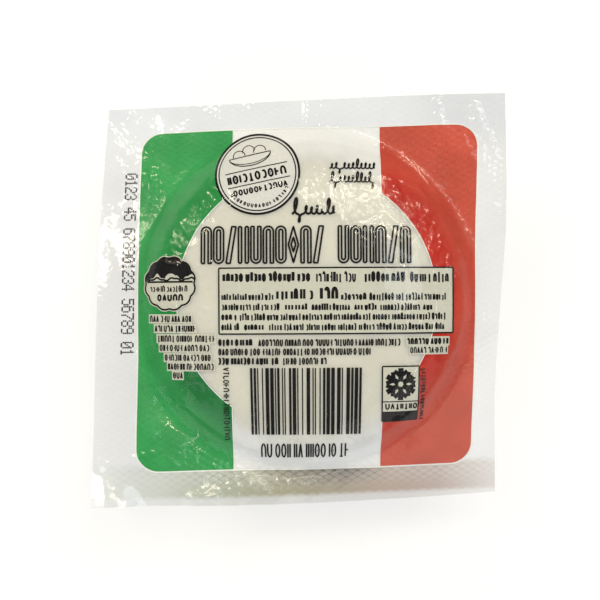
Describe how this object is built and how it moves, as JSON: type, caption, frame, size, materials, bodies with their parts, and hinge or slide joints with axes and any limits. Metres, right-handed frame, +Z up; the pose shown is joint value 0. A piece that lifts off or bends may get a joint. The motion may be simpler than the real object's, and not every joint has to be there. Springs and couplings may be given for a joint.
{
  "type": "vacuum-packed mozzarella ball",
  "caption": "Flattened ball of fresh white cheese sealed in a square clear film pack with a green, white and red printed front.",
  "frame": {"origin": "on the plane of the flat spot that the pack's back lies on, under the middle of the pack's box", "axes": "+Z up out of the printed front, +X to the print's right edge, +Y to the print's top edge"},
  "size_m": [0.116, 0.1154, 0.0443],
  "materials": {
    "clear_film": "clear glossy film with a pressed diamond pattern in the seal",
    "cheese": "moist, smooth, slightly translucent milk white",
    "green_ink": "printed under glossy film",
    "red_ink": "printed under glossy film",
    "white_ink": "thin printed white, a little see-through",
    "black_ink": "printed under glossy film",
    "date_ink": "small sprayed dots"
  },
  "bodies": {
    "root": {"mozzarella_pack": "clear_film"}
  },
  "joints": []
}
